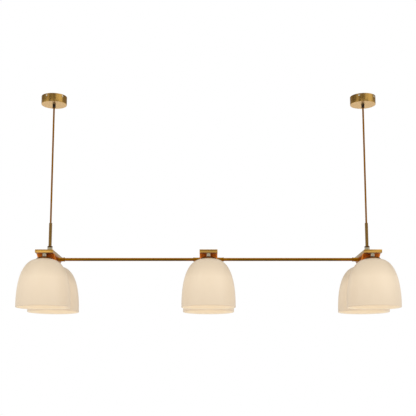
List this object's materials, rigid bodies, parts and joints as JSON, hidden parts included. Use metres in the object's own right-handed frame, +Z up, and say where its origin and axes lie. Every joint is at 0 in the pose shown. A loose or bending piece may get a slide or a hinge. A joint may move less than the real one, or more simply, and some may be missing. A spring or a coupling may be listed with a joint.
{
  "type": "linear pendant light",
  "caption": "Linear suspension on cords from round canopies: a brass bar with brackets that each hold an opal glass bell shade in front and behind.",
  "frame": {"origin": "on the ceiling plane, midway between the two ceiling plates and their four screws", "axes": "+X along the bar to the right, +Y to the rear shades, +Z up into the ceiling"},
  "size_m": [1.434, 0.412, 0.852],
  "materials": {
    "steel": "zinc-plated, satin",
    "canopy_brass": "brushed underside, polished wall",
    "bright_metal": "polished",
    "terminal_plastic": "moulded",
    "black_plastic": "moulded",
    "cord_weave": "round woven cover",
    "rubber": "matte",
    "stem_brass": "polished",
    "dark_brass": "dark patina",
    "bracket_brass": "satin, crisp edges",
    "housing_brass": "polished, warm",
    "lead_sheath": "moulded",
    "cap_brass": "dark polished",
    "white_plastic": "moulded",
    "contact_brass": "bright",
    "opal_glass": "satin opal",
    "bulb_white": "satin"
  },
  "bodies": {
    "ceiling": {"ceiling_plate_left": "steel", "ceiling_plate_right": "steel", "canopy_left": "canopy_brass", "canopy_right": "canopy_brass", "canopy_screws": "bright_metal", "terminal_block": "terminal_plastic", "cord_grip_left": "black_plastic", "cord_grip_right": "black_plastic", "grip_nuts": "steel", "cord_tails": "cord_weave"},
    "swing": {"bend_bushes": "rubber"},
    "sway_left": {"cord_left": "cord_weave"},
    "fixture": {"stem_left": "stem_brass", "stem_right": "stem_brass", "stem_collars": "bright_metal", "collar_rings": "dark_brass", "collar_nuts": "steel", "stem_cords": "cord_weave", "cord_ferrules": "dark_brass", "cover_left": "bracket_brass", "cover_centre": "bracket_brass", "cover_right": "bracket_brass", "tray_bases": "dark_brass", "housing_left": "housing_brass", "housing_centre": "housing_brass", "housing_right": "housing_brass", "bracket_screws": "bright_metal", "rod_left": "stem_brass", "rod_right": "stem_brass", "rod_sockets": "stem_brass", "socket_nuts": "steel", "lamp_leads": "lead_sheath", "nipples": "steel", "nipple_nuts": "steel", "neck_sleeves": "bright_metal", "shade_caps": "cap_brass", "crown_washers": "rubber", "shade_rings": "white_plastic", "screw_shells": "contact_brass", "centre_contacts": "contact_brass", "lampholder_front_left": "white_plastic", "lampholder_front_centre": "white_plastic", "lampholder_front_right": "white_plastic", "lampholder_rear_left": "white_plastic", "lampholder_rear_centre": "white_plastic", "lampholder_rear_right": "white_plastic", "shade_front_left": "opal_glass", "shade_front_centre": "opal_glass", "shade_front_right": "opal_glass", "shade_rear_left": "opal_glass", "shade_rear_centre": "opal_glass", "shade_rear_right": "opal_glass"},
    "sway_right": {"cord_right": "cord_weave"},
    "bulb_front_left": {"bulb_front_left": "bulb_white"},
    "bulb_front_centre": {"bulb_front_centre": "bulb_white"},
    "bulb_front_right": {"bulb_front_right": "bulb_white"},
    "bulb_rear_left": {"bulb_rear_left": "bulb_white"},
    "bulb_rear_centre": {"bulb_rear_centre": "bulb_white"},
    "bulb_rear_right": {"bulb_rear_right": "bulb_white"}
  },
  "joints": [
    {"name": "swing_front_rear", "type": "hinge", "parent": "ceiling", "child": "swing", "pos_m": [0, 0, -0.0415], "axis": [1, 0, 0], "range_deg": [-10, 10]},
    {"name": "sway_cord_left", "type": "hinge", "parent": "swing", "child": "sway_left", "pos_m": [-0.616, 0, -0.0415], "axis": [0, 1, 0], "range_deg": [-8, 8]},
    {"name": "sway_bar", "type": "hinge", "parent": "sway_left", "child": "fixture", "pos_m": [-0.616, 0, -0.5155], "axis": [0, 1, 0], "range_deg": [-8, 8]},
    {"name": "sway_cord_right", "type": "hinge", "parent": "fixture", "child": "sway_right", "pos_m": [0.616, 0, -0.5155], "axis": [0, 1, 0], "range_deg": [-8, 8]},
    {"name": "bulb_turn_front_left", "type": "hinge", "parent": "fixture", "child": "bulb_front_left", "pos_m": [-0.616, -0.105, -0.7], "axis": [0, 0, 1], "continuous": true},
    {"name": "bulb_turn_front_centre", "type": "hinge", "parent": "fixture", "child": "bulb_front_centre", "pos_m": [0, -0.105, -0.7], "axis": [0, 0, 1], "continuous": true},
    {"name": "bulb_turn_front_right", "type": "hinge", "parent": "fixture", "child": "bulb_front_right", "pos_m": [0.616, -0.105, -0.7], "axis": [0, 0, 1], "continuous": true},
    {"name": "bulb_turn_rear_left", "type": "hinge", "parent": "fixture", "child": "bulb_rear_left", "pos_m": [-0.616, 0.105, -0.7], "axis": [0, 0, 1], "continuous": true},
    {"name": "bulb_turn_rear_centre", "type": "hinge", "parent": "fixture", "child": "bulb_rear_centre", "pos_m": [0, 0.105, -0.7], "axis": [0, 0, 1], "continuous": true},
    {"name": "bulb_turn_rear_right", "type": "hinge", "parent": "fixture", "child": "bulb_rear_right", "pos_m": [0.616, 0.105, -0.7], "axis": [0, 0, 1], "continuous": true}
  ],
  "couplings": [
    {"joint": "sway_bar", "follows": "sway_cord_left", "ratio": -1},
    {"joint": "sway_cord_right", "follows": "sway_cord_left", "ratio": 1}
  ]
}
